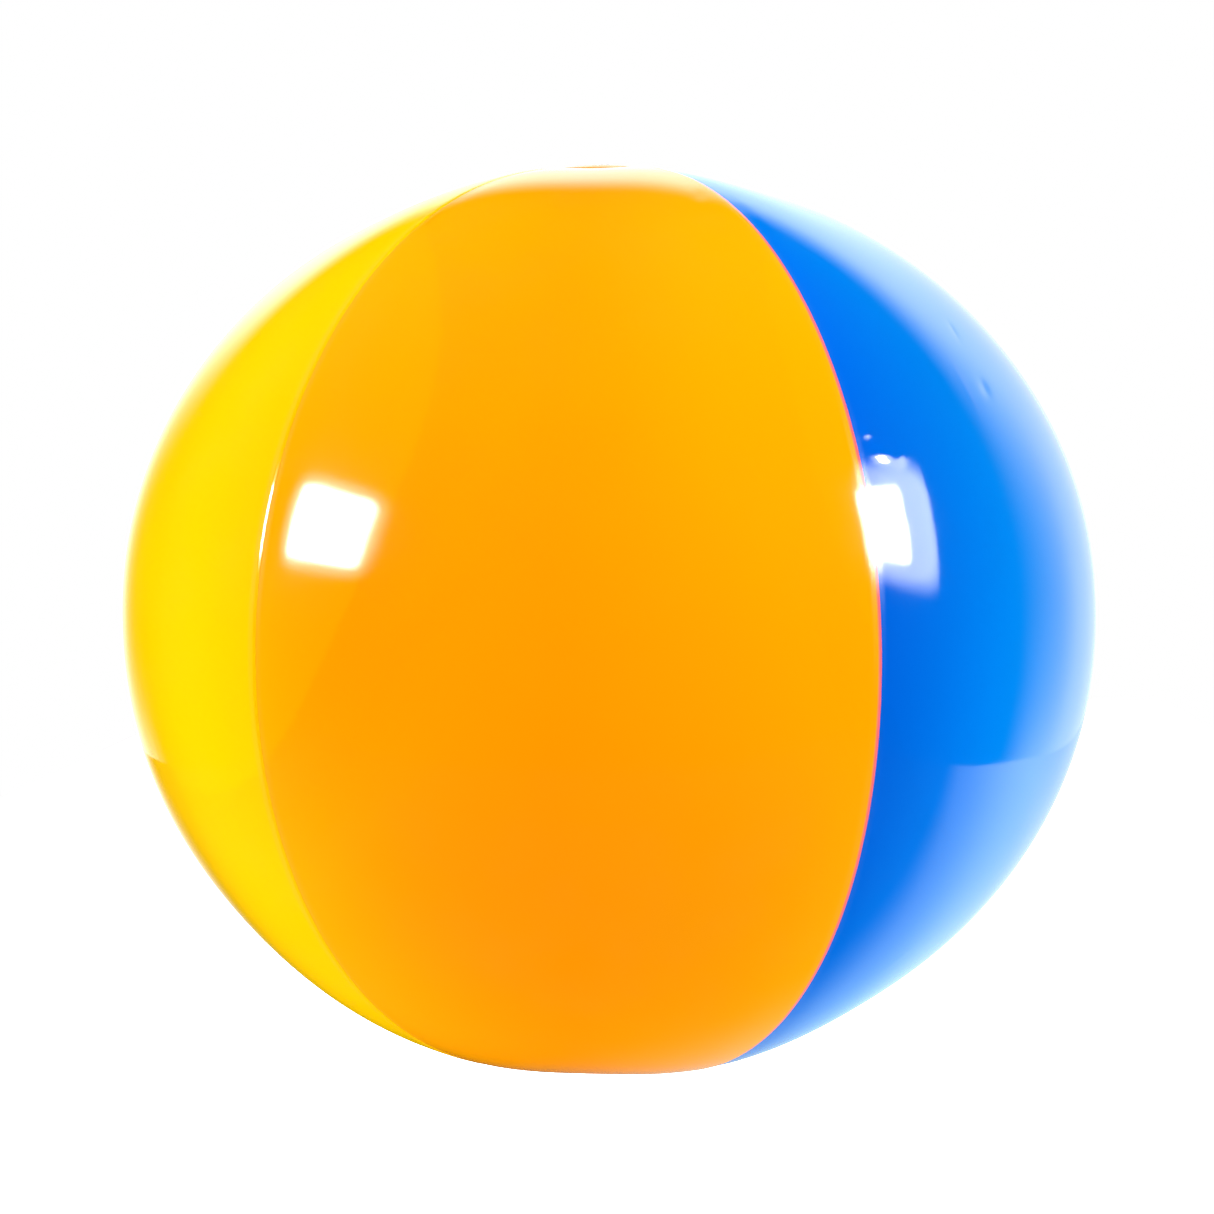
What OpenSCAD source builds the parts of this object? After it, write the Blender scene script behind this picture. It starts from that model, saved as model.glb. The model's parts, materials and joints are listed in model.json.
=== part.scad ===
// Inflatable beach ball: six welded gores, two end discs and a push-in valve
// Millimetres, +Z up along the ball's axis, origin in the middle of the flat face it rests on

/* [Ball] */
// Radius of the inflated ball at the middle of a gore
ball_r = 165; // [130:1:220]
// How far the seams stand proud at the equator, as a share of the radius
seam_swell = 0.0474; // [0:0.0002:0.07]
// Height of the pole above the centre at a gore's middle line, as a share of the radius
centre_height = 0.9532; // [0.9:0.0002:1]
// Height of the pole above the centre along a seam, as a share of the radius
seam_height = 0.9575; // [0.9:0.0005:1]
// Squareness of a gore's middle line: 2 is an ellipse
centre_power = 2.065; // [2:0.005:2.2]
// Squareness of a seam's line: 2 is an ellipse
seam_power = 2.033; // [2:0.001:2.2]
// Thickness of the vinyl film
film_t = 0.3; // [0.2:0.05:0.5]
// Latitude at which the gores end under the end discs, in degrees
tip_angle = 84; // [82:0.5:85]

/* [End discs] */
// Radius of each end disc
disc_r = 23; // [21:0.5:28]
// Thickness of an end disc with its weld
disc_t = 0.6; // [0.4:0.1:1]
// Drop of a disc's rim below its flat middle
disc_drop = 0.4; // [0.2:0.1:0.6]

/* [Valve] */
// Radius of the flange welded to the top disc
flange_r = 12.5; // [11.5:0.5:16]
// Thickness of the flange
flange_t = 0.6; // [0.4:0.1:0.7]
// Radius of the hole that the stem sinks through
well_r = 7; // [6.8:0.1:7.4]
// Wall of the soft folding collar
collar_t = 0.4; // [0.3:0.05:0.6]
// Depth of the folding collar, half of the stem's travel
collar_depth = 6.3; // [5.5:0.1:7]
// Outer radius of the stem
stem_r = 4.5; // [4.2:0.1:4.7]
// Radius of the air bore through the stem
bore_r = 3.05; // [2.8:0.05:3.2]
// Length of the stem below the disc's face
stem_below = 8; // [7.5:0.1:9]
// Radius of the plug's cap
cap_r = 5.6; // [5.4:0.1:6]
// Thickness of the plug's cap
cap_t = 1.05; // [0.9:0.05:1.2]
// Length of the plug's pin below its cap
pin_len = 5.05; // [4.5:0.05:5.5]
// Radius of the pin's tip
pin_tip_r = 2; // [1.8:0.1:2.2]

/* [Strap] */
// Distance of the strap's two end hinges from the valve's axis
strap_x = 7.2; // [7:0.1:7.6]
// Length of each half of the folded strap
strap_len = 7; // [6:0.1:8]
// Width of the strap
strap_w = 3.2; // [2.4:0.1:4]
// Thickness of the strap
strap_t = 0.5; // [0.4:0.05:0.6]

/* [Hidden] */
GORES = 6;
GORE_ANGLE = 360 / GORES;

// Cells across and along a gore
ACROSS = 14;
ALONG = 30;
WELD_GAP = 0.05;
WELD_START_R = 17.4;
PART_GAP = 0.15;
FLAP_GAP = 0.1;
HINGE_GAP = 0.2;
FOLD_GAP = 0.3;
END_GAP = 0.05;
EAR_GAP = 0.5;
CORNER = 0.3;
FINE = 96;

function blend(a, b, share) = a + (b - a) * share;
function round_share(t, power) = pow(pow(cos(t), power) + pow(abs(sin(t)), power), -1 / power);
function profile(t, radius, height, power) =
    ball_r * round_share(t, power) * [radius * cos(t), height * sin(t)];
function seam_share(turn) = (1 - cos(GORES * turn)) / 2;
function film_line(t, turn) = blend(
    profile(t, 1, centre_height, centre_power),
    profile(t, 1 + seam_swell, seam_height, seam_power),
    seam_share(turn));
function film_point(t, turn, inset) =
    let (line = film_line(t, turn), scaled = line * (1 - inset / norm(line)))
    [scaled[0] * cos(turn), scaled[0] * sin(turn), scaled[1]];

// Underside of an end disc above the ball's centre: just clear of the gores, in whole tenths
disc_under = ceil((film_line(tip_angle, GORE_ANGLE / 2)[1] + WELD_GAP) * 10) / 10;
centre_z = disc_under + disc_t;
top_z = centre_z * 2;

// Heights above the top disc's face
strap_low = flange_t + HINGE_GAP;
strap_high = strap_low + strap_t + FOLD_GAP;
rim_top = flange_t + 0.6;
cap_under = rim_top + PART_GAP;
cap_top = cap_under + cap_t;

rim_r = 5.2;
root_r = 5.3;
root_t = 0.6;
plug_r = bore_r - 0.05;
plug_fit_len = 0.75;
flap_r = 4.3;
flap_t = 0.45;

// One gore: a film panel between two seams, closed at its edges and open at no side
module gore(turn) {
    row = ACROSS + 1;
    layer = row * (ALONG + 1);
    points = [for (inset = [0, film_t]) for (j = [0 : ALONG]) for (i = [0 : ACROSS])
        film_point(blend(-tip_angle, tip_angle, j / ALONG),
            blend(-GORE_ANGLE / 2, GORE_ANGLE / 2, i / ACROSS), inset)];
    outer = [for (j = [0 : ALONG - 1]) for (i = [0 : ACROSS - 1])
        let (a = j * row + i, b = a + row) each [[a, b, b + 1], [a, b + 1, a + 1]]];
    inner = [for (face = outer) [face[0] + layer, face[2] + layer, face[1] + layer]];
    rims = [
        for (j = [0 : ALONG - 1]) let (a = j * row, b = a + row) each strip(b, a, layer),
        for (j = [0 : ALONG - 1]) let (a = j * row + ACROSS, b = a + row) each strip(a, b, layer),
        for (i = [0 : ACROSS - 1]) each strip(i, i + 1, layer),
        for (i = [0 : ACROSS - 1]) let (a = ALONG * row + i) each strip(a + 1, a, layer)];
    translate([0, 0, centre_z])
        rotate([0, 0, turn])
            polyhedron(points, concat(outer, inner, rims));
}

// Two triangles that close the film's edge between two outer points
function strip(a, b, layer) = [[a, b, b + layer], [a, b + layer, a + layer]];

module gore_front_orange() {
    color("orange") gore(-90);
}

module gore_right_blue() {
    color("dodgerblue") gore(-30);
}

module gore_right_yellow() {
    color("gold") gore(30);
}

module gore_back_orange() {
    color("orange") gore(90);
}

module gore_left_blue() {
    color("dodgerblue") gore(150);
}

module gore_left_yellow() {
    color("gold") gore(210);
}

// End disc, flat in the middle, its rim dropping onto the ends of the gores
module end_disc(hole_r) {
    rotate_extrude($fn = FINE)
        polygon([
            [hole_r, disc_under],
            [WELD_START_R, disc_under],
            [disc_r, disc_under - disc_drop],
            [disc_r, disc_under - disc_drop + disc_t],
            [WELD_START_R, disc_under + disc_t],
            [hole_r, disc_under + disc_t]]);
}

module top_disc() {
    color("darkorange")
        translate([0, 0, centre_z])
            end_disc(well_r);
}

module bottom_disc() {
    color("darkorange")
        translate([0, 0, centre_z])
            mirror([0, 0, 1])
                end_disc(0);
}

// Round plate with bevelled edges, between two heights
module pill(r, low, high) {
    rotate_extrude($fn = FINE)
        polygon([
            [0, low],
            [r - CORNER, low],
            [r, low + CORNER],
            [r, high - CORNER],
            [r - CORNER, high],
            [0, high]]);
}

// Ring on the top disc that carries the valve
module valve_flange() {
    color("white")
        translate([0, 0, top_z])
            difference() {
                cylinder(h = flange_t, r = flange_r, $fn = FINE);
                translate([0, 0, -1])
                    cylinder(h = flange_t + 2, r = well_r, $fn = FINE);
            }
}

// Soft collar that lets the stem sink in: it narrows from the well's wall to the stem's root
module valve_collar() {
    steps = 8;
    top_r = well_r - collar_t - 0.05;
    end_r = root_r + 0.1;
    curve = [for (i = [0 : steps]) let (share = i / steps)
        [blend(top_r, end_r, (1 - cos(180 * share)) / 2), blend(flange_t, -collar_depth, share)]];
    wall = [for (i = [steps : -1 : 0]) curve[i] + [collar_t, 0]];
    color("white")
        translate([0, 0, top_z])
            rotate_extrude($fn = FINE)
                polygon(concat(curve, wall));
}

// Stem: tube with a root ring, a rim round its mouth and an ear for the strap
module valve_stem() {
    color("white")
        translate([0, 0, top_z])
            difference() {
                union() {
                    translate([0, 0, -stem_below])
                        cylinder(h = stem_below + rim_top, r = stem_r, $fn = FINE);
                    translate([0, 0, -collar_depth - root_t])
                        cylinder(h = root_t, r = root_r, $fn = FINE);
                    pill(rim_r, -PART_GAP, rim_top);
                    translate([stem_r, -strap_w / 2, strap_low])
                        cube([strap_x - EAR_GAP - stem_r, strap_w, rim_top - strap_low]);
                }
                translate([0, 0, -stem_below - 1])
                    cylinder(h = stem_below + rim_top + 3, r = bore_r, $fn = FINE);
            }
}

// Check flap: a thin disc under the stem that air pressure holds shut
module check_flap() {
    lug_w = 3;
    color("white")
        translate([0, 0, top_z - stem_below - FLAP_GAP - flap_t]) {
            cylinder(h = flap_t, r = flap_r, $fn = FINE);
            translate([0, -lug_w / 2, 0])
                cube([stem_r, lug_w, flap_t]);
        }
}

// Half of the folded strap, from one hinge line to the fold
module strap_half(z) {
    color("white")
        translate([strap_x + HINGE_GAP, -strap_w / 2, top_z + z])
            cube([strap_len - HINGE_GAP - END_GAP, strap_w, strap_t]);
}

module strap_lower() {
    strap_half(strap_low);
}

module strap_upper() {
    strap_half(strap_high);
}

// Plug: a cap with a tapered pin below, an ear for the strap and a pull tab opposite
module valve_plug() {
    tab_reach = 8.6;
    tab_w = 4.4;
    tab_t = 0.6;
    color("white")
        translate([0, 0, top_z]) {
            pill(cap_r, cap_under, cap_top);
            translate([0, 0, cap_under - plug_fit_len])
                cylinder(h = plug_fit_len + CORNER, r = plug_r, $fn = FINE);
            translate([0, 0, cap_under - pin_len])
                cylinder(h = pin_len - plug_fit_len, r1 = pin_tip_r, r2 = plug_r, $fn = FINE);
            translate([0, -strap_w / 2, strap_high])
                cube([strap_x - EAR_GAP, strap_w, strap_t]);
            translate([-tab_reach, 0, cap_top - CORNER - tab_t])
                cylinder(h = tab_t, r = tab_w / 2, $fn = FINE);
            translate([-tab_reach, -tab_w / 2, cap_top - CORNER - tab_t])
                cube([tab_reach, tab_w, tab_t]);
        }
}

gore_front_orange();
gore_right_blue();
gore_right_yellow();
gore_back_orange();
gore_left_blue();
gore_left_yellow();
top_disc();
bottom_disc();
valve_flange();
valve_collar();
valve_stem();
check_flap();
strap_lower();
strap_upper();
valve_plug();
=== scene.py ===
import json
import math
import random

import bmesh
import bpy
import numpy as np
from mathutils import Matrix, Vector


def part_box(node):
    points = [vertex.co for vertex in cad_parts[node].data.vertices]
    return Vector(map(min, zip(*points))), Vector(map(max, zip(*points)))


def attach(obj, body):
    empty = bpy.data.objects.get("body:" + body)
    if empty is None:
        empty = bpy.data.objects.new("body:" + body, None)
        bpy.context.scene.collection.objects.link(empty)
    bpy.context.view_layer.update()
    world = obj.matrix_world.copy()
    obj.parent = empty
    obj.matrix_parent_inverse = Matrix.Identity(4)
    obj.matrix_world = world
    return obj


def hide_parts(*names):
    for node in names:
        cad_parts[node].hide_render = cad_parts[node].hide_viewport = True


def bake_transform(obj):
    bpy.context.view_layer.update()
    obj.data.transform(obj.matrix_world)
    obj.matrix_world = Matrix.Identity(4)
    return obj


# Looks of an inflatable beach ball: six welded film gores, two end discs and a push-in valve.
# Metres, +Z up along the ball's axis, origin in the middle of the flat face that the ball rests on.

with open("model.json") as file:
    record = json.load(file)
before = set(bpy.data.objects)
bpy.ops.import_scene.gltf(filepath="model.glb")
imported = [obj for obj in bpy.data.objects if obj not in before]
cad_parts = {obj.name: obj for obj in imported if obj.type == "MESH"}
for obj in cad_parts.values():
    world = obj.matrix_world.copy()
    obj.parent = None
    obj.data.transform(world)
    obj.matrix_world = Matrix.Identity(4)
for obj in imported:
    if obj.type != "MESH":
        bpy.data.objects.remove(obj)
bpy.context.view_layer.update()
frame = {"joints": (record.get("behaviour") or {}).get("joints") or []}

MM = 0.001

# ---- Sizes taken from the frame ----
ball_r = -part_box("gore_front_orange")[0].y
top_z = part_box("top_disc")[1].z
disc_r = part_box("top_disc")[1].x
flange_low, flange_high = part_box("valve_flange")
stem_low, stem_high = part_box("valve_stem")
collar_low, collar_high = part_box("valve_collar")
plug_low, plug_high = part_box("valve_plug")
flap_low, flap_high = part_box("check_flap")
lower_low, lower_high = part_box("strap_lower")
upper_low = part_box("strap_upper")[0]
centre_z = top_z / 2
joint_places = {joint["name"]: joint.get("pos_m") for joint in frame["joints"]}

# ---- Film: the gored ball's form ----
GORES = 6
HALF_GORE = math.pi / GORES
SEAM_RADIUS = 1.0474
CENTRE_HEIGHT = 0.9532
SEAM_HEIGHT = 0.9575
CENTRE_POWER = 2.065
SEAM_POWER = 2.033
TIP = math.radians(84)
FILM_T = 0.3 * MM

# Across a gore: a tucked edge under the neighbour, the open film, and the lip that laps over
TUCK = 2.2 * MM
LAP = 1.0 * MM
LAP_BLUR = 0.35 * MM
LIP_DROP = 0.13 * MM
LIP_T = 0.07 * MM
WELD_RISE = 0.08 * MM
WELD_SPREAD = 7 * MM
LOW_BAND = 5.5 * MM
HIGH_BAND = 4 * MM
OPEN_CELLS = 78
ALONG_CELLS = 190
MARKED_GORE = 1
# Painted seam shading: how the film's colour goes over to a lighter or darker tone towards its seams
PAINTED_SEAM_SHADING_POWER = 1.4


def blend(a, b, share):
    return a + (b - a) * share


def smooth(low, high, x):
    share = np.clip((x - low) / (high - low), 0, 1)
    return share * share * (3 - 2 * share)


def profile(t, radius, height, power):
    """Radius and height above the centre at the angle t along a gore's line."""
    cos, sin = np.cos(t), np.sin(t)
    scale = ball_r * (cos**power + np.abs(sin) ** power) ** (-1 / power)
    return scale * radius * cos, scale * height * sin


def film_line(t, turn):
    share = (1 - np.cos(GORES * turn)) / 2
    centre = profile(t, 1, CENTRE_HEIGHT, CENTRE_POWER)
    seam = profile(t, SEAM_RADIUS, SEAM_HEIGHT, SEAM_POWER)
    return blend(centre[0], seam[0], share), blend(centre[1], seam[1], share)


# ---- Small unevenness of the welded film: its heights, and how far from a seam or disc it reaches ----
PUCKER = 0.07 * MM
PUCKER_REACH = 6 * MM
GATHER = 0.045 * MM
GATHER_REACH = 11 * MM
SWAY = 0.04 * MM
CREASE = 0.035
CREASES = 9


def ripple(seed, s):
    """Uneven wave along the length s, between about -1 and 1, in patches."""
    pick = random.Random(seed)
    wave, patch = 0 * s, 0 * s
    for length in (8.5, 12, 17):
        wave = wave + np.sin(2 * math.pi * s / (length * MM) + pick.uniform(0, 7)) / 3
    for length in (61, 97, 149):
        patch = patch + np.sin(2 * math.pi * s / (length * MM) + pick.uniform(0, 7)) / 3
    return wave * (0.25 + 0.75 * smooth(0.0, 0.7, patch))


# Marks left by folding and welding: gore, latitude and turn in degrees, length and width in millimetres,
# slant in degrees, height in millimetres
MARKS = [
    (1, 24.3, -28.2, 2.6, 1.8, 20, 0.34),
    (1, 22.0, -26.9, 4.4, 2.2, -12, 0.40),
    (1, 21.8, -24.4, 4.5, 2.2, 40, 0.22),
    (1, 17.0, -24.0, 6.0, 2.6, 70, -0.05),
    (1, 30.0, -0.7, 5.0, 3.2, 30, -0.16),
    (1, 38.0, 1.5, 6.0, 2.4, 60, -0.14),
    (1, -8.0, -18.0, 4.0, 2.4, 20, -0.16),
    (0, -18.0, 20.0, 9.0, 1.8, 55, 0.05),
    (0, -20.5, 22.5, 9.0, 1.8, 120, 0.05),
    (0, -23.5, 24.5, 8.0, 1.8, 55, 0.05),
    (0, 61.0, 25.5, 12.0, 2.4, 60, -0.20),
    (5, 9.0, 26.0, 6.0, 1.8, 80, 0.08),
]


def random_marks(gore):
    """A few faint packing creases on every gore."""
    pick = random.Random(100 + gore)
    return [(gore, pick.uniform(-65, 65), pick.uniform(-24, 24), pick.uniform(7, 16),
             pick.uniform(1.8, 3.2), pick.uniform(0, 180), pick.uniform(-CREASE, CREASE))
            for _ in range(CREASES)]


def mark_heights(gore, t, turn, radius):
    total = 0 * t
    for marked, lat, across, length, width, slant, height in MARKS + random_marks(gore):
        if marked != gore:
            continue
        x = (turn - math.radians(across)) * radius
        y = (t - math.radians(lat)) * ball_r
        angle = math.radians(slant)
        u = (x * math.cos(angle) + y * math.sin(angle)) / (length * MM)
        v = (y * math.cos(angle) - x * math.sin(angle)) / (width * MM)
        total = total + height * MM * np.exp(-2 * (u * u + v * v))
    return total


def film_unevenness(gore, t, turn, radius):
    """How far the film stands off its smooth form."""
    s = t * ball_r
    from_low = np.abs(turn + HALF_GORE) * radius
    from_high = np.abs(HALF_GORE - turn) * radius
    pucker = (ripple(gore, s) * np.exp(-from_low / PUCKER_REACH)
              + ripple((gore + 1) % GORES, s) * np.exp(-from_high / PUCKER_REACH))
    # Radial gathers where the film's ends are welded under the discs
    nearness = np.exp(-((radius - disc_r) / GATHER_REACH) ** 2)
    around = gore * 2 * HALF_GORE + turn
    folds = np.sin(30 * around + 1) * 0.5 + np.sin(48 * around + 2) * 0.3 + np.sin(18 * around) * 0.4
    sway = np.sin(6 * t + 3 * around) * np.sin(5 * around - 4 * t)
    return (PUCKER * pucker + GATHER * nearness * folds + SWAY * sway
            + mark_heights(gore, t, turn, radius))


def weld_rise(past_low, past_high):
    """Rise of the film beside its welds: the lapping edge bends down, and the tucked edge runs under it."""
    lapping = smooth(-WELD_SPREAD, 0, past_high) * WELD_RISE - smooth(0, LAP, past_high) * LIP_DROP
    tucked = (1 - smooth(LAP, LAP + WELD_SPREAD, past_low)) * WELD_RISE
    hidden = (1 - smooth(0.3 * LAP, 0.85 * LAP, past_low)) * (FILM_T + WELD_RISE)
    return lapping - tucked - hidden


def weld_share(past_low, past_high):
    """1 on the pressed welds beside a seam, 0 on the open film and on the smooth lip."""
    pressed = np.maximum(smooth(-2.4 * MM, -1.4 * MM, past_high), 1 - smooth(2 * MM, 3 * MM, past_low))
    return pressed * (1 - smooth(-0.3 * LAP, 0.1 * LAP, past_high))


def film_thickness(past_high):
    """The film, pressed thin along its lip."""
    return blend(FILM_T, LIP_T, smooth(-0.4 * LAP, 0.95 * LAP, past_high))


def gore_columns(open_cells):
    """Pairs across a gore: share of the half angle, and distance from there. Closest at the two welds."""
    tucked = [(-1, -TUCK), (-1, -TUCK / 2)]
    low = tucked + [(-1, mm * MM) for mm in (0, 0.3, 0.5, 0.7, 0.85, 1, 2, 3.2, 4.4)]
    middle = [(blend(-1, 1, i / open_cells), blend(LOW_BAND, -HIGH_BAND, i / open_cells))
              for i in range(open_cells + 1)]
    high = [(1, mm * MM) for mm in (-3, -2.2, -1.5, -0.9, -0.4, 0)]
    lip = [(1, LAP * share) for share in (0.25, 0.5, 0.75, 0.92, 1.0)]
    return np.array(low + middle + high + lip)


def shell(outer, inner):
    """Closed sheet between two grids of points, as vertices and faces."""
    rows, columns = outer.shape[:2]
    layer = rows * columns
    verts = np.concatenate([outer.reshape(-1, 3), inner.reshape(-1, 3)])
    index = np.arange(layer).reshape(rows, columns)
    a, b, c, d = index[:-1, :-1], index[:-1, 1:], index[1:, 1:], index[1:, :-1]
    outside = np.stack([a, b, c, d], -1).reshape(-1, 4)
    faces = [outside, outside[:, ::-1] + layer]
    ring = np.concatenate([index[0, :], index[1:, -1], index[-1, -2::-1], index[-2:0:-1, 0]])
    after = np.roll(ring, -1)
    faces.append(np.stack([after, ring, ring + layer, after + layer], -1))
    return verts, np.concatenate(faces)


def new_piece(name, verts, faces, material, sharp=35):
    mesh = bpy.data.meshes.new(name)
    mesh.from_pydata([tuple(v) for v in verts], [], [tuple(int(i) for i in f) for f in faces])
    mesh.validate()
    mesh.update()
    mesh.shade_smooth()
    mesh.set_sharp_from_angle(angle=math.radians(sharp))
    piece = bpy.data.objects.new(name, mesh)
    bpy.context.scene.collection.objects.link(piece)
    mesh.materials.append(material)
    return piece


def add_attribute(piece, name, values):
    attribute = piece.data.attributes.new(name, "FLOAT", "POINT")
    attribute.data.foreach_set("value", np.asarray(values, np.float32))


def make_gore(index, name, middle, material, lap_width):
    fineness = 2 if index == MARKED_GORE else 1
    share, offset = gore_columns(OPEN_CELLS * fineness).T
    t = np.linspace(-TIP, TIP, ALONG_CELLS * fineness + 1)[:, None]
    line_r = film_line(t, HALF_GORE)[0]
    turn = share[None, :] * HALF_GORE + offset[None, :] / line_r
    t = t + 0 * turn
    radius, height = film_line(t, turn)
    past_low, past_high = (turn + HALF_GORE) * radius, (turn - HALF_GORE) * radius
    stand = film_unevenness(index, t, turn, radius) + weld_rise(past_low, past_high)
    length = np.hypot(radius, height)

    def points(rise):
        scale = 1 + rise / length
        angle = turn + middle
        return np.stack([radius * scale * np.cos(angle), radius * scale * np.sin(angle),
                         height * scale + centre_z], -1)

    verts, faces = shell(points(stand), points(stand - film_thickness(past_high)))
    piece = new_piece(name, verts, faces, material)
    lap = smooth(LAP - lap_width - LAP_BLUR, LAP - lap_width + LAP_BLUR, past_high)
    # Share of painted seam shading: 0 in the gore's middle, 1 at its seams
    edge = np.clip(np.abs(turn / HALF_GORE) ** PAINTED_SEAM_SHADING_POWER, 0, 1)
    for attribute, values in (("edge", edge), ("lap", lap), ("weld", weld_share(past_low, past_high))):
        add_attribute(piece, attribute, np.tile(values.ravel(), 2))
    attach(piece, "ball")
    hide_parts(name.replace("film_", "gore_"))
    return piece


# ---- End discs ----
DISC_SHEET = 0.6 * MM
DISC_STAND = 0.08 * MM
FLAT_R = 14 * MM
FOLLOW_R = 18 * MM
FILM_END_R = 16.5 * MM
RIM_SLOPE = 4.5 * MM
RIM_STAND = 0.2 * MM
RIM_SUNK = 0.1 * MM
# Rounded edge of the rim: distance in from the edge, and drop
RIM_STEPS = ((0.12 * MM, 0.03 * MM), (0.03 * MM, 0.1 * MM), (0, 0.22 * MM))
# Pressed ring that holds the disc to the gores, with its knurling
RING_INNER = 18.6 * MM
RING_OUTER = 21.8 * MM
RING_EDGE = 0.4 * MM
RING_DEPTH = 0.1 * MM
KNURL = 0.02 * MM
KNURLS = 90
DISC_GATHER = 0.01 * MM
DISC_RINGS = 46
DISC_TURNS = 360
POLE_RING = 0.2 * MM


def film_height(radius, turn):
    """Height of the gores' outer face above the centre at a radius near the pole."""
    t = np.full_like(radius, TIP)
    for _ in range(12):
        t = t + (film_line(t, turn)[0] - radius) / ball_r
    return film_line(t, turn)[1]


def film_under_disc(radius, around):
    """Height of the film under a disc; it dips between two seams."""
    local = (around + math.pi / 2 + HALF_GORE) % (2 * HALF_GORE) - HALF_GORE
    return film_height(np.maximum(radius, FILM_END_R), local)


def weld_ring(radius):
    """1 on the pressed ring that holds a disc to the gores, 0 beside it."""
    return (smooth(RING_INNER, RING_INNER + RING_EDGE, radius)
            * (1 - smooth(RING_OUTER - RING_EDGE, RING_OUTER, radius)))


def disc_face(radius, around):
    """Height above the centre of an end disc's outer face, level with the seams but for its sloping rim."""
    held = film_height(np.maximum(radius, FILM_END_R), np.full_like(radius, HALF_GORE))
    pressed = weld_ring(radius) * (RING_DEPTH + KNURL * np.cos(KNURLS * around))
    gather = np.sin(30 * around + 1) * DISC_GATHER * smooth(15 * MM, 23 * MM, radius)
    follow = held + DISC_SHEET + DISC_STAND - pressed + gather
    slope = np.clip(1 - (disc_r - radius) / RIM_SLOPE, 0, 1) ** 1.5
    follow = blend(follow, film_under_disc(radius, around) + RIM_STAND, slope)
    flat = top_z - centre_z
    return np.minimum(flat, blend(flat, follow, smooth(FLAT_R, FOLLOW_R, radius)))


def disc_underside(face, radius, around):
    """The underside reaches down to the film where that dips between two seams."""
    film = film_under_disc(radius, around) - RIM_SUNK
    return blend(face - DISC_SHEET, film, smooth(17 * MM, 20 * MM, radius))


def make_disc(name, node, hole_r, up, material):
    """An end disc; up is 1 for the top one and -1 for the bottom one."""
    rings = list(np.linspace(max(hole_r, POLE_RING), disc_r - 0.25 * MM, DISC_RINGS))
    rings += [disc_r - inset for inset, drop in RIM_STEPS]
    drops = [0] * DISC_RINGS + [drop for inset, drop in RIM_STEPS]
    turns = np.linspace(0, 2 * math.pi, DISC_TURNS, endpoint=False)
    radius, around = np.meshgrid(rings, turns, indexing="ij")
    face = disc_face(radius, around)

    def points(height):
        return np.stack([radius * np.cos(around), radius * np.sin(around), centre_z + up * height], -1)

    outer = points(face - np.array(drops)[:, None])
    inner = points(disc_underside(face, radius, around))
    verts, faces = closed_rings(outer, inner, hole_r == 0, up)
    piece = new_piece(name, verts, faces, material)
    add_attribute(piece, "weld", weld_ring(np.hypot(verts[:, 0], verts[:, 1])))
    add_attribute(piece, "lap", np.zeros(len(verts)))
    add_attribute(piece, "edge", np.zeros(len(verts)))
    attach(piece, "ball")
    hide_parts(node)
    return piece


def closed_rings(outer, inner, filled, up):
    """Closed sheet between two grids of rings; a filled one has its middle closed too."""
    rows, turns = outer.shape[:2]
    layer = rows * turns
    verts = np.concatenate([outer.reshape(-1, 3), inner.reshape(-1, 3)])
    index = np.arange(layer).reshape(rows, turns)
    beside = np.roll(index, -1, axis=1)
    outside = np.stack([index[:-1], index[1:], beside[1:], beside[:-1]], -1).reshape(-1, 4)
    faces = [tuple(f) for f in outside] + [tuple(f[::-1] + layer) for f in outside]
    faces += [(a, a + layer, b + layer, b) for a, b in zip(index[-1], beside[-1])]
    if filled:
        faces += [tuple(index[0]), tuple(index[0][::-1] + layer)]
    else:
        faces += [(b, b + layer, a + layer, a) for a, b in zip(index[0], beside[0])]
    if up < 0:
        faces = [f[::-1] for f in faces]
    return verts, faces


# ---- Turned and moulded valve pieces ----
TURNS = 96
WELL_R = 7 * MM
INSET = 0.04 * MM


def rounded(corners, radius, steps=4, closed=True):
    """Outline with its corners rounded to at most the given radius; an open one keeps its two ends."""
    made = []
    count = len(corners)
    for i in range(count):
        corner = Vector(corners[i])
        if not closed and i in (0, count - 1):
            made.append(corner[:])
            continue
        before = Vector(corners[i - 1]) - corner
        after = Vector(corners[(i + 1) % count]) - corner
        reach = min(radius, before.length * 0.45, after.length * 0.45)
        start = corner + before.normalized() * reach
        end = corner + after.normalized() * reach
        for k in range(steps + 1):
            share = k / steps
            made.append((start * (1 - share) ** 2 + corner * 2 * share * (1 - share) + end * share**2)[:])
    return made


def spun(outline):
    """The points of an outline of (radius, height) at every turn about the axis."""
    angles = [2 * math.pi * k / TURNS for k in range(TURNS)]
    return [(r * math.cos(angle), r * math.sin(angle), z) for angle in angles for r, z in outline]


def turned(outline):
    """Solid of revolution of a closed outline that stays off the axis."""
    count = len(outline)
    faces = []
    for k in range(TURNS):
        here, there = k * count, (k + 1) % TURNS * count
        for i in range(count):
            j = (i + 1) % count
            faces.append((here + i, here + j, there + j, there + i))
    return spun(outline), faces


def lathe(outline):
    """Solid of revolution of an outline that starts and ends on the axis."""
    inner = outline[1:-1]
    count = len(inner)
    verts, faces = spun(inner), []
    first, last = len(verts), len(verts) + 1
    verts += [(0, 0, outline[0][1]), (0, 0, outline[-1][1])]
    for k in range(TURNS):
        here, there = k * count, (k + 1) % TURNS * count
        faces += [(here + i, here + i + 1, there + i + 1, there + i) for i in range(count - 1)]
        faces.append((first, here, there))
        faces.append((last, there + count - 1, here + count - 1))
    return verts, faces


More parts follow.
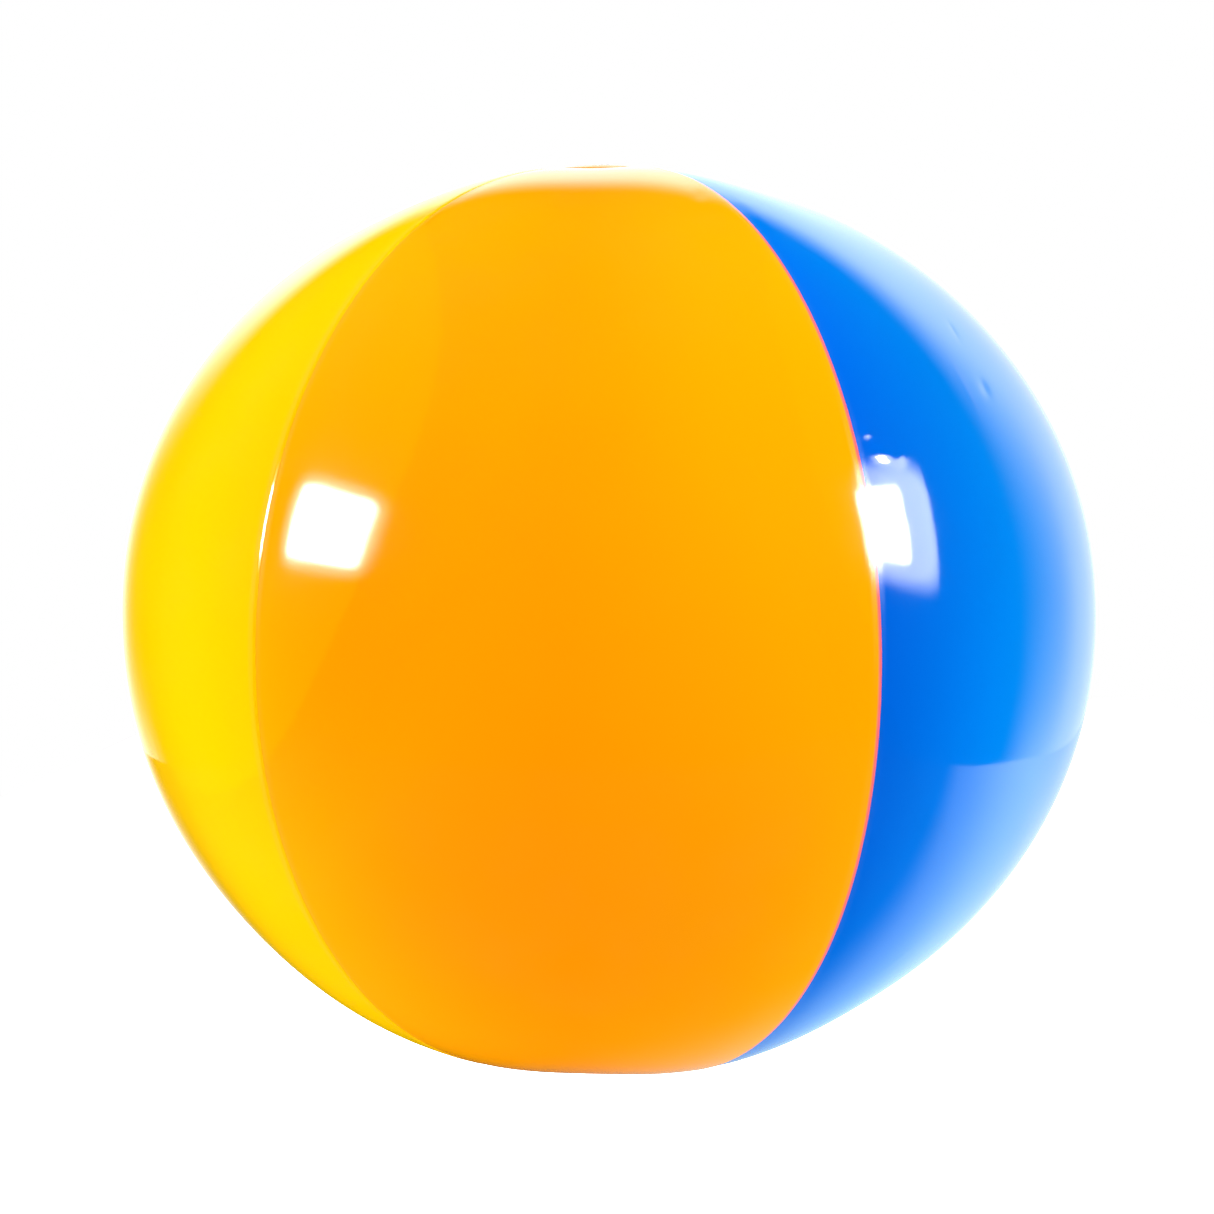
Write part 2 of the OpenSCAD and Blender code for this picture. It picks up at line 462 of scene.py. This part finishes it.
def plate(outline, low, high, edge):
    """Flat piece with rounded edges: an outline of (x, y) between two heights."""
    count = len(outline)
    middle = Vector((sum(p[0] for p in outline) / count, sum(p[1] for p in outline) / count))
    edge_steps = 4
    levels = []
    for k in range(edge_steps + 1):
        angle = math.pi / 2 * k / edge_steps
        levels.append((edge * (1 - math.sin(angle)), low + edge * (1 - math.cos(angle))))
    levels += [(inset, low + high - z) for inset, z in reversed(levels)]
    verts, faces = [], []
    for inset, z in levels:
        for x, y in outline:
            away = Vector((x, y)) - middle
            spot = middle + away * (1 - inset / away.length)
            verts.append((spot.x, spot.y, z))
    for level in range(len(levels) - 1):
        for i in range(count):
            j = (i + 1) % count
            a, b = level * count, (level + 1) * count
            faces.append((a + i, a + j, b + j, b + i))
    faces.append(tuple(range(count))[::-1])
    faces.append(tuple(len(verts) - count + i for i in range(count)))
    return verts, faces


def together(*solids):
    verts, faces = [], []
    for solid_verts, solid_faces in solids:
        start = len(verts)
        verts += list(solid_verts)
        faces += [tuple(i + start for i in face) for face in solid_faces]
    return verts, faces


def valve_piece(name, solid, material, nodes, body=None):
    piece = new_piece(name, solid[0], solid[1], material, sharp=50)
    mesh = bmesh.new()
    mesh.from_mesh(piece.data)
    bmesh.ops.recalc_face_normals(mesh, faces=mesh.faces)
    mesh.to_mesh(piece.data)
    mesh.free()
    if body:
        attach(piece, body)
    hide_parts(*nodes)
    return piece


def make_flange(material):
    """Welded ring with a shallow groove near its edge."""
    low, high, outer = flange_low.z, flange_high.z, flange_high.x
    groove = high - 0.12 * MM
    outline = [(WELL_R, low), (outer, low), (outer, high - 0.25 * MM), (outer - 1.2 * MM, high),
               (outer - 2 * MM, high), (outer - 2.3 * MM, groove), (outer - 2.7 * MM, groove),
               (outer - 3 * MM, high), (WELL_R, high)]
    solid = turned(rounded(outline, 0.22 * MM))
    return valve_piece("valve_base_ring", solid, material, ["valve_flange"], "ball")


def make_collar(material):
    """Thin folding wall that narrows from the flange to the stem, with soft folds."""
    steps = 28
    wall, fold, folds = 0.4 * MM, 0.16 * MM, 2.5
    top_r, end_r = collar_high.x - wall, 5.35 * MM
    inside, outside = [], []
    for i in range(steps + 1):
        share = i / steps
        wave = fold * math.sin(share * 2 * math.pi * folds) * math.sin(math.pi * share)
        r = blend(top_r, end_r, (1 - math.cos(math.pi * share)) / 2) + wave
        z = blend(collar_high.z, collar_low.z, share)
        inside.append((r, z))
        outside.append((r + wall, z))
    piece = valve_piece("valve_folding_collar", turned(inside + outside[::-1]), material, ["valve_collar"])
    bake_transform(piece)


def make_stem(material):
    """Tube with a mouth rim, a root that the collar is welded to, and an ear that the strap hangs on."""
    low, high = stem_low.z, stem_high.z
    bore, tube, rim, root = 3.05 * MM, 4.5 * MM, 5.2 * MM, 5.3 * MM
    root_low = collar_low.z - 0.6 * MM
    rim_low = top_z - 0.15 * MM
    outline = [(bore, low), (tube, low), (tube, root_low), (root, root_low), (root, collar_low.z),
               (tube, collar_low.z), (tube, rim_low), (rim, rim_low), (rim, high),
               (bore + 0.5 * MM, high), (bore, high - 0.4 * MM)]
    ear_end, ear_half = lower_low.x - 0.6 * MM, 1.6 * MM
    ear = [(tube, -ear_half), (ear_end, -ear_half), (ear_end, ear_half), (tube, ear_half)]
    solid = together(turned(rounded(outline, 0.18 * MM)),
                     plate(rounded(ear, 0.3 * MM), lower_low.z + INSET, high - INSET, 0.1 * MM))
    valve_piece("valve_tube", solid, material, ["valve_stem"], "stem")


def make_flap(material):
    """Round flap with the lug that it hangs on."""
    low, high, flap_r = flap_low.z, flap_high.z, 4.3 * MM
    outline = [(0, low), (flap_r, low), (flap_r, high), (0, high)]
    lug_start, lug_end, lug_half = 2 * MM, 4.5 * MM, 1.5 * MM
    lug = [(lug_start, -lug_half), (lug_end, -lug_half), (lug_end, lug_half), (lug_start, lug_half)]
    solid = together(lathe(rounded(outline, 0.12 * MM, closed=False)),
                     plate(rounded(lug, 0.2 * MM), low + INSET, high - INSET, 0.08 * MM))
    valve_piece("valve_check_flap", solid, material, ["check_flap"], "flap")


def make_plug(material):
    """Cap with a shallow dish, tapered hollow pin, and a pull tab with three ridges."""
    cap_low, cap_high, tip = top_z + 1.35 * MM, plug_high.z, plug_low.z
    cap_r, pin_r, tip_r, neck = 5.6 * MM, 3.0 * MM, 2.0 * MM, 0.75 * MM
    dish = cap_high - 0.16 * MM
    cap = [(0, cap_low), (cap_r, cap_low), (cap_r, cap_high - 0.2 * MM), (cap_r - 0.5 * MM, cap_high),
           (4.3 * MM, cap_high), (4.0 * MM, cap_high - 0.22 * MM), (0, dish)]
    pin_top = cap_low + 0.3 * MM
    pin = [(0, tip + 0.7 * MM), (1.1 * MM, tip + 0.7 * MM), (1.2 * MM, tip + 0.1 * MM), (1.4 * MM, tip),
           (tip_r - 0.2 * MM, tip), (tip_r, tip + 0.25 * MM), (pin_r, cap_low - neck),
           (pin_r, pin_top), (0, pin_top)]
    tab_start, tab_end, tab_half = 4.8 * MM, 8.6 * MM, 2.2 * MM
    tab = [(-tab_end - tab_half * math.sin(a), tab_half * math.cos(a))
           for a in np.linspace(0, math.pi, 25)]
    tab = [(-tab_start, tab_half)] + tab + [(-tab_start, -tab_half)]
    tab_low, tab_high = cap_high - 0.9 * MM, cap_high - 0.3 * MM
    ridge_half, ridge_reach = 1.35 * MM, 0.2 * MM
    ridges = []
    for x in (-7.4 * MM, -8.4 * MM, -9.4 * MM):
        left, right = x - ridge_reach, x + ridge_reach
        bar = [(left, -ridge_half), (right, -ridge_half), (right, ridge_half), (left, ridge_half)]
        ridges.append(plate(rounded(bar, 0.18 * MM), tab_high - 0.1 * MM, tab_high + 0.18 * MM, 0.08 * MM))
    solid = together(lathe(rounded(cap, 0.22 * MM, closed=False)), lathe(pin),
                     plate(tab, tab_low, tab_high, 0.15 * MM), *ridges)
    valve_piece("valve_stopper", solid, material, ["valve_plug"], "plug")


def ribbon(path, half_width, thickness):
    """Strap along a path of (x, z, normal x, normal z), with rounded edges."""
    rise = thickness / 2
    corners = [(-half_width, -rise), (half_width, -rise), (half_width, rise), (-half_width, rise)]
    section = rounded(corners, 0.16 * MM, 3)
    count = len(section)
    verts, faces = [], []
    for x, z, nx, nz in path:
        verts += [(x + nx * up, across, z + nz * up) for across, up in section]
    for k in range(len(path) - 1):
        for i in range(count):
            j = (i + 1) % count
            faces.append((k * count + i, k * count + j, (k + 1) * count + j, (k + 1) * count + i))
    faces.append(tuple(range(count)))
    faces.append(tuple(range(len(verts) - 1, len(verts) - count - 1, -1)))
    return verts, faces


def make_strap(material):
    """Strap in three lengths that meet half way: its root, its fold, and its end on the plug."""
    thickness = lower_high.z - lower_low.z
    half = lower_high.y
    low, high = lower_low.z + thickness / 2, upper_low.z + thickness / 2
    hinge_x, fold_x = joint_places["strap_lift"][0], joint_places["strap_unfold"][0]
    root_x, end_x = 5.0 * MM, 5.2 * MM
    join_x = (hinge_x + fold_x) / 2
    fold_r, fold_z = (high - low) / 2, (low + high) / 2
    root_path = [(x, low, 0, 1) for x in np.linspace(root_x, join_x, 40)]
    end_path = [(x, high, 0, 1) for x in np.linspace(join_x, end_x, 40)]
    fold_path = [(x, low, 0, -1) for x in np.linspace(join_x, fold_x, 12)[:-1]]
    fold_path += [(fold_x + fold_r * math.cos(a), fold_z + fold_r * math.sin(a), math.cos(a), math.sin(a))
                  for a in np.linspace(-math.pi / 2, math.pi / 2, 25)]
    fold_path += [(x, high, 0, 1) for x in np.linspace(fold_x, join_x, 12)[1:]]
    root = valve_piece("strap_root", ribbon(root_path, half, thickness), material, ["strap_lower"])
    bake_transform(root)
    fold = valve_piece("strap_fold", ribbon(fold_path, half, thickness), material,
                       ["strap_lower", "strap_upper"])
    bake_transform(fold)
    end = valve_piece("strap_end", ribbon(end_path, half, thickness), material, ["strap_upper"])
    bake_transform(end)


# ---- Materials ----
class Nodes:
    """Builds a node tree: each method adds one node and returns what comes out of it."""

    def __init__(self, tree):
        self.tree = tree

    def add(self, kind, **values):
        node = self.tree.nodes.new(kind)
        for key, value in values.items():
            setattr(node, key, value)
        return node

    def link(self, start, end):
        self.tree.links.new(start, end)

    def noise(self, coords, scale, detail=3, roughness=0.5):
        node = self.add("ShaderNodeTexNoise")
        node.inputs["Scale"].default_value = scale
        node.inputs["Detail"].default_value = detail
        node.inputs["Roughness"].default_value = roughness
        self.link(coords, node.inputs["Vector"])
        return node.outputs["Fac"]

    def spread(self, value, low, high, from_low=0.0, from_high=1.0, kind="LINEAR"):
        node = self.add("ShaderNodeMapRange", interpolation_type=kind)
        node.inputs["From Min"].default_value = from_low
        node.inputs["From Max"].default_value = from_high
        node.inputs["To Min"].default_value = low
        node.inputs["To Max"].default_value = high
        self.link(value, node.inputs["Value"])
        return node.outputs["Result"]

    def math(self, operation, a, b):
        node = self.add("ShaderNodeMath", operation=operation)
        for socket, value in zip(node.inputs, (a, b)):
            if isinstance(value, (int, float)):
                socket.default_value = value
            else:
                self.link(value, socket)
        return node.outputs[0]

    def mix(self, share, a, b):
        node = self.add("ShaderNodeMix", data_type="RGBA")
        for socket, value in ((node.inputs[6], a), (node.inputs[7], b)):
            if isinstance(value, tuple):
                socket.default_value = (*value, 1)
            else:
                self.link(value, socket)
        self.link(share, node.inputs[0])
        return node.outputs[2]

    def dot(self, vector, direction):
        node = self.add("ShaderNodeVectorMath", operation="DOT_PRODUCT")
        node.inputs[1].default_value = Vector(direction).normalized()
        self.link(vector, node.inputs[0])
        return node.outputs["Value"]

    def bump(self, height, strength, distance):
        node = self.add("ShaderNodeBump")
        node.inputs["Strength"].default_value = strength
        node.inputs["Distance"].default_value = distance
        self.link(height, node.inputs["Height"])
        return node.outputs["Normal"]

    def attribute(self, name):
        return self.add("ShaderNodeAttribute", attribute_name=name).outputs["Fac"]


def scaled(colour, factor):
    return tuple(min(1.0, c * factor) for c in colour)


def new_material(name):
    material = bpy.data.materials.new(name)
    material.use_nodes = True
    shader = material.node_tree.nodes["Principled BSDF"]
    return material, Nodes(material.node_tree), shader


def film_material(name, colour, painted_seam_shading_colour, lap_colour, sheen, sheen_weight):
    """Glossy calendered vinyl: faint mottling, painted light and shade near the seams, and a duller pressed
    weld.
    """
    material, nodes, shader = new_material(name)
    place = nodes.add("ShaderNodeTexCoord").outputs["Object"]
    weld = nodes.attribute("weld")

    mottle = nodes.spread(nodes.noise(place, 14, 4), 0, 1, 0.3, 0.7)
    base = nodes.mix(mottle, scaled(colour, 0.97), scaled(colour, 1.02))
    # Painted light and shade: towards the seams the colour turns lighter on the orange film and darker on
    # the blue and yellow
    base = nodes.mix(nodes.attribute("edge"), base, painted_seam_shading_colour)
    nodes.link(nodes.mix(nodes.attribute("lap"), base, lap_colour), shader.inputs["Base Color"])

    smear = nodes.spread(nodes.noise(place, 45, 5, 0.6), 0.05, 0.085, 0.35, 0.65)
    nodes.link(nodes.math("ADD", smear, nodes.math("MULTIPLY", weld, 0.1)), shader.inputs["Roughness"])

    grain = nodes.math("MULTIPLY", nodes.noise(place, 1600, 2), 0.3)
    orange_peel = nodes.noise(place, 260, 2)
    pressed = nodes.math("MULTIPLY", nodes.noise(place, 2600, 1), weld)
    relief = nodes.math("ADD", nodes.math("ADD", grain, orange_peel), nodes.math("MULTIPLY", pressed, 2.0))
    nodes.link(nodes.bump(relief, 0.35, 0.02 * MM), shader.inputs["Normal"])

    shader.inputs["IOR"].default_value = 1.53
    shader.inputs["Sheen Weight"].default_value = sheen_weight
    shader.inputs["Sheen Roughness"].default_value = 0.45
    shader.inputs["Sheen Tint"].default_value = (*sheen, 1)
    return material


def valve_material():
    """Milky moulded vinyl with a soft sheen."""
    material, nodes, shader = new_material("valve_vinyl")
    place = nodes.add("ShaderNodeTexCoord").outputs["Object"]
    mottle = nodes.spread(nodes.noise(place, 350, 4), 0, 1, 0.3, 0.7)
    nodes.link(nodes.mix(mottle, (0.54, 0.55, 0.54), (0.61, 0.61, 0.595)), shader.inputs["Base Color"])
    nodes.link(nodes.spread(nodes.noise(place, 900, 4), 0.26, 0.4, 0.3, 0.7), shader.inputs["Roughness"])
    nodes.link(nodes.bump(nodes.noise(place, 3000, 2), 0.4, 0.03 * MM), shader.inputs["Normal"])
    shader.inputs["IOR"].default_value = 1.5
    return material


# ---- Stage: floor, surroundings, lights and camera ----
TABLE_SIDE = 0.42
TABLE_BACK = 0.9
TABLE_T = 0.01
# Strengths of the table's glow, which is painted light: to the camera, and the near and the far part of the
# painted pool of light that the film mirrors
TABLE_SEEN = 4.0
TABLE_PAINTED_NEAR_LIGHT = 0.64
TABLE_PAINTED_FAR_LIGHT = 0.6


def ray_strength(nodes, camera, glossy, other):
    """One value for camera rays, one for reflections and one for the rest."""
    path = nodes.add("ShaderNodeLightPath")
    seen = nodes.math("MULTIPLY", path.outputs["Is Camera Ray"], camera)
    mirrored = nodes.math("MULTIPLY", path.outputs["Is Glossy Ray"], glossy)
    neither = nodes.math("SUBTRACT", 1, nodes.math("ADD", path.outputs["Is Camera Ray"],
                                                   path.outputs["Is Glossy Ray"]))
    rest = nodes.math("MULTIPLY", nodes.math("MAXIMUM", neither, 0), other)
    return nodes.math("ADD", nodes.math("ADD", seen, mirrored), rest)


def make_floor():
    """White table, white only by its glow; the film mirrors it from the far right, where a pool of light is
    painted on it.
    """
    corners = [(-TABLE_SIDE, -TABLE_SIDE), (TABLE_SIDE, -TABLE_SIDE),
               (TABLE_SIDE, TABLE_BACK), (-TABLE_SIDE, TABLE_BACK)]
    verts, faces = plate(rounded(corners, 20 * MM), -TABLE_T, 0.0, 3 * MM)
    material, nodes, shader = new_material("white_table")
    shader.inputs["Base Color"].default_value = (0.004, 0.004, 0.004, 1)
    shader.inputs["Roughness"].default_value = 0.6
    shader.inputs["Specular IOR Level"].default_value = 0.0
    place = nodes.add("ShaderNodeSeparateXYZ")
    nodes.link(nodes.add("ShaderNodeTexCoord").outputs["Object"], place.inputs[0])

    def along(x_share, y_share):
        """Distance from the middle along a level direction."""
        x = nodes.math("MULTIPLY", place.outputs["X"], x_share)
        return nodes.math("ADD", x, nodes.math("MULTIPLY", place.outputs["Y"], y_share))

    # What the film mirrors: a painted pool of light that grows from front to back, between two soft edges
    depth = along(-0.18, 1)
    near = nodes.spread(depth, 0.0, TABLE_PAINTED_NEAR_LIGHT, -0.13, -0.07, "SMOOTHSTEP")
    far = nodes.spread(depth, 0.0, TABLE_PAINTED_FAR_LIGHT, -0.07, 0.11)
    right_edge = nodes.spread(along(0.61, 0.79), 0.0, 1.0, -0.07, 0.03, "SMOOTHSTEP")
    left_edge = nodes.spread(along(0.8, 0.6), 0.0, 1.0, -0.13, -0.05, "SMOOTHSTEP")
    mirrored = nodes.math("MULTIPLY", nodes.math("ADD", near, far),
                          nodes.math("MULTIPLY", right_edge, left_edge))
    # What lights the ball from below, weaker in front
    glow = nodes.spread(place.outputs["Y"], 0.6, 2.0, -0.34, -0.06)
    shader.inputs["Emission Color"].default_value = (1, 1, 1, 1)
    nodes.link(ray_strength(nodes, TABLE_SEEN, mirrored, glow), shader.inputs["Emission Strength"])
    new_piece("white_table", verts, faces, material)


BACKDROP_TURN = math.radians(7.2)
BACKDROP_DROP = math.radians(2)
BACKDROP_EDGE = math.radians(47.5)
BACKDROP_FULL = math.radians(34)
BACKDROP_LIGHT = 1.55
BEHIND = (-0.45, 0.75, 0.35)
BEHIND_LIGHT = 2.3


def make_world():
    """White behind the ball and dark in front of it, as its film mirrors them."""
    world = bpy.data.worlds.new("studio")
    world.use_nodes = True
    bpy.context.scene.world = world
    nodes = Nodes(world.node_tree)
    background = world.node_tree.nodes["Background"]
    direction = nodes.add("ShaderNodeTexCoord").outputs["Generated"]
    height = nodes.add("ShaderNodeSeparateXYZ")
    nodes.link(direction, height.inputs[0])
    to_backdrop = (math.sin(BACKDROP_TURN), math.cos(BACKDROP_TURN), -math.tan(BACKDROP_DROP))
    backdrop = nodes.spread(nodes.dot(direction, to_backdrop), 0.0, BACKDROP_LIGHT,
                            math.cos(BACKDROP_EDGE), math.cos(BACKDROP_FULL), "SMOOTHSTEP")
    overhead = nodes.spread(height.outputs["Z"], 0.1, 0.3, -0.5, 1.0)
    behind = nodes.spread(nodes.dot(direction, BEHIND), 0.0, BEHIND_LIGHT)
    nodes.link(ray_strength(nodes, 1.0, backdrop, nodes.math("ADD", overhead, behind)),
               background.inputs["Strength"])
    background.inputs["Color"].default_value = (1, 1, 1, 1)


# The two softboxes: place and aim in metres, roll in degrees; the fill is the radiance that lights the ball,
# and the halo is the dim panel round the bright one
SOFTBOX_RADIANCE = 60
LIGHT_MARGIN = 2.4
SOFTBOXES = {
    "left": dict(place=(-0.995, -0.90, 0.71), aim=(-0.062, -0.154, 0.198), size=(0.62, 0.35), roll=0,
                 fill=30, halo_size=(1.45, 1.5), halo_shift=0, halo_strength=0.12),
    "right": dict(place=(1.244, -0.48, 0.683), aim=(0.087, -0.143, 0.198), size=(0.46, 0.35), roll=-12,
                  fill=42, halo_size=(2.0, 1.9), halo_shift=0.4, halo_strength=0.15),
}


def area_light(name, place, aim, size, roll, radiance, mirrored):
    """Rectangular light of a given radiance: one that the film mirrors, or one that only lights it."""
    light = bpy.data.lights.new(name, "AREA")
    light.shape = "RECTANGLE"
    light.size, light.size_y = size
    light.energy = radiance * size[0] * size[1] * math.pi
    lamp = bpy.data.objects.new(name, light)
    bpy.context.scene.collection.objects.link(lamp)
    turned_to = (Vector(aim) - Vector(place)).to_track_quat("-Z", "Y").to_matrix()
    lamp.matrix_world = (Matrix.Translation(place)
                         @ (turned_to @ Matrix.Rotation(math.radians(roll), 3, "Z")).to_4x4())
    lamp.visible_diffuse = not mirrored
    lamp.visible_glossy = mirrored
    lamp.visible_camera = False
    return light


def soften(light, halo_size, halo_shift, halo_strength):
    """Bright panel in the middle of the light and a dim one round it, both in parts of the panel's sides."""
    light.use_nodes = True
    nodes = Nodes(light.node_tree)
    emission = light.node_tree.nodes["Emission"]
    sides = nodes.add("ShaderNodeSeparateXYZ")
    nodes.link(nodes.add("ShaderNodeNewGeometry").outputs["Parametric"], sides.inputs[0])

    def reach(size, shift, power):
        """Distance from the middle of a round-cornered panel, 1 at its edge."""
        total = 0
        for axis, middle, side in (("X", shift, size[0]), ("Y", 0, size[1])):
            away = nodes.math("SUBTRACT", sides.outputs[axis], 0.5 + middle / LIGHT_MARGIN)
            share = nodes.math("MULTIPLY", nodes.math("ABSOLUTE", away, 0), 2 * LIGHT_MARGIN / side)
            total = nodes.math("ADD", nodes.math("POWER", share, power), total)
        return nodes.math("POWER", total, 1 / power)

    # Each panel fades across its own edge
    core = nodes.spread(reach((1, 1), 0, 9), 1, 0, 0.84, 1.16, "SMOOTHSTEP")
    halo = nodes.spread(reach(halo_size, halo_shift, 4), halo_strength, 0, 0.66, 1.05, "SMOOTHSTEP")
    nodes.link(nodes.math("ADD", core, halo), emission.inputs["Strength"])


def make_lights():
    for name, box in SOFTBOXES.items():
        pose = (box["place"], box["aim"])
        shown = [side * LIGHT_MARGIN for side in box["size"]]
        softbox = area_light(name + "_softbox", *pose, shown, box["roll"], SOFTBOX_RADIANCE, True)
        soften(softbox, box["halo_size"], box["halo_shift"], box["halo_strength"])
        area_light(name + "_fill", *pose, box["size"], box["roll"], box["fill"], False)


CAMERA_DISTANCE = 0.6157
CAMERA_RISE = math.radians(5.585)
CAMERA_TURN = math.radians(4.561)
CAMERA_ROLL = math.radians(0.173)
LENS = 50.42
SENSOR = 36
SHIFT = (0.0021, 0.0098)


def make_camera():
    data = bpy.data.cameras.new("camera")
    camera = bpy.data.objects.new("camera", data)
    bpy.context.scene.collection.objects.link(camera)
    bpy.context.scene.camera = camera
    away = Vector((math.cos(CAMERA_RISE) * math.sin(CAMERA_TURN),
                   -math.cos(CAMERA_RISE) * math.cos(CAMERA_TURN), math.sin(CAMERA_RISE)))
    turned_to = (-away).to_track_quat("-Z", "Y").to_matrix() @ Matrix.Rotation(-CAMERA_ROLL, 3, "Z")
    place = Vector((0, 0, centre_z)) + away * CAMERA_DISTANCE
    camera.matrix_world = Matrix.Translation(place) @ turned_to.to_4x4()
    data.lens = LENS
    data.sensor_width = SENSOR
    data.shift_x, data.shift_y = SHIFT
    data.clip_start = 0.01


ORANGE = (1.0, 0.295, 0.0)
# Each film's seam colour is painted light and shade: lighter than the film on the orange, darker on the blue
# and yellow; the discs don't use it
FILMS = {
    "orange": dict(colour=ORANGE, painted_seam_shading_colour=(1.0, 0.365, 0.0), lap_colour=(0.95, 0.15, 0.17),
                   sheen=(1.0, 0.5, 0.0), sheen_weight=0.1),
    "blue": dict(colour=(0.0, 0.195, 0.72), painted_seam_shading_colour=(0.0, 0.105, 0.63), lap_colour=(0.02, 0.12, 0.5),
                 sheen=(0.0, 0.7, 0.9), sheen_weight=0.25),
    "yellow": dict(colour=(1.0, 0.545, 0.0), painted_seam_shading_colour=(1.0, 0.52, 0.0), lap_colour=(0.95, 0.48, 0.0),
                   sheen=(1.0, 0.75, 0.0), sheen_weight=0.2),
    "disc": dict(colour=(0.95, 0.24, 0.0), painted_seam_shading_colour=ORANGE, lap_colour=ORANGE,
                 sheen=(1.0, 0.5, 0.0), sheen_weight=0.2),
}
LAP_WIDTHS = {"orange": 1.0 * MM, "blue": 1.8 * MM, "yellow": 2.6 * MM}
# Round the ball from the front, each a sixth of a turn on
GORE_PIECES = [("film_front_orange", "orange"), ("film_right_blue", "blue"), ("film_right_yellow", "yellow"),
               ("film_back_orange", "orange"), ("film_left_blue", "blue"), ("film_left_yellow", "yellow")]
FRONT = math.radians(-90)

bpy.context.scene.view_settings.view_transform = "Standard"
make_camera()
make_world()
make_floor()
make_lights()

films = {film: film_material("film_" + film, **looks) for film, looks in FILMS.items()}
for number, (gore_name, film) in enumerate(GORE_PIECES):
    middle = FRONT + 2 * HALF_GORE * number
    make_gore(number, gore_name, middle, films[film], LAP_WIDTHS[film])
make_disc("end_disc_top", "top_disc", WELL_R, 1, films["disc"])
make_disc("end_disc_bottom", "bottom_disc", 0, -1, films["disc"])

valve_vinyl = valve_material()
make_flange(valve_vinyl)
make_collar(valve_vinyl)
make_stem(valve_vinyl)
make_flap(valve_vinyl)
make_plug(valve_vinyl)
make_strap(valve_vinyl)
